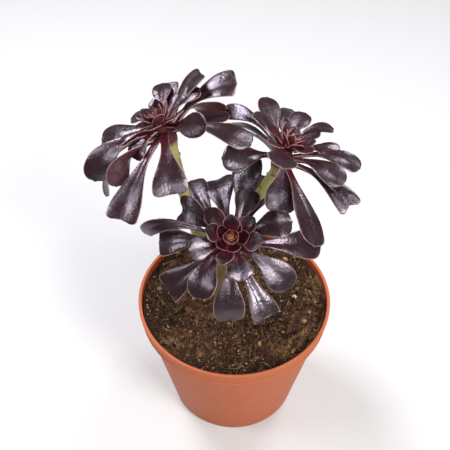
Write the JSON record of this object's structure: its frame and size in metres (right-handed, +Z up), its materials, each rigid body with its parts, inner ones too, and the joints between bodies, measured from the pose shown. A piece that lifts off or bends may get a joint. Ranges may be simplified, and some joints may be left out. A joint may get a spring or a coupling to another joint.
{
  "type": "potted aeonium",
  "caption": "Dark-leaved branching succulent with three open leaf rosettes, growing in soil in a tapered round plastic pot.",
  "frame": {"origin": "centre of the pot's flat base, on the surface that it stands on", "axes": "+Z up along the pot's axis, +X to the right as the low rosette faces the viewer, +Y to the back, away from the low rosette"},
  "size_m": [0.1449, 0.12, 0.2346],
  "materials": {
    "pot_plastic": "moulded terracotta-coloured plastic, satin matte",
    "potting_soil": "loose fibrous peat, fully matte",
    "stem": "smooth young succulent stem, satin",
    "leaf": "waxy fleshy leaf, dark purple-brown, soft gloss with pale fringed margin",
    "bud_leaf": "waxy young leaf, dark red with pink margin and a yellow-green heart"
  },
  "bodies": {
    "root": {"pot": "pot_plastic", "soil": "potting_soil", "branched_stem": "stem", "front_bud": "bud_leaf", "left_bud": "bud_leaf", "right_bud": "bud_leaf", "front_leaf_01": "leaf", "front_leaf_02": "leaf", "front_leaf_03": "leaf", "front_leaf_04": "leaf", "front_leaf_05": "leaf", "front_leaf_06": "leaf", "front_leaf_07": "leaf", "front_leaf_08": "leaf", "front_leaf_09": "leaf", "front_leaf_10": "leaf", "front_leaf_11": "leaf", "front_leaf_12": "leaf", "front_leaf_13": "leaf", "front_leaf_14": "leaf", "front_leaf_15": "leaf", "front_leaf_16": "leaf", "front_leaf_17": "leaf", "left_leaf_01": "leaf", "left_leaf_02": "leaf", "left_leaf_03": "leaf", "left_leaf_04": "leaf", "left_leaf_05": "leaf", "left_leaf_06": "leaf", "left_leaf_07": "leaf", "left_leaf_08": "leaf", "left_leaf_09": "leaf", "left_leaf_10": "leaf", "left_leaf_11": "leaf", "left_leaf_12": "leaf", "left_leaf_13": "leaf", "left_leaf_14": "leaf", "left_leaf_15": "leaf", "left_leaf_16": "leaf", "left_leaf_17": "leaf", "left_leaf_18": "leaf", "right_leaf_01": "leaf", "right_leaf_02": "leaf", "right_leaf_03": "leaf", "right_leaf_04": "leaf", "right_leaf_05": "leaf", "right_leaf_06": "leaf", "right_leaf_07": "leaf", "right_leaf_08": "leaf", "right_leaf_09": "leaf", "right_leaf_10": "leaf", "right_leaf_11": "leaf", "right_leaf_12": "leaf", "right_leaf_13": "leaf", "right_leaf_14": "leaf", "right_leaf_15": "leaf", "right_leaf_16": "leaf", "right_leaf_17": "leaf"}
  },
  "joints": []
}
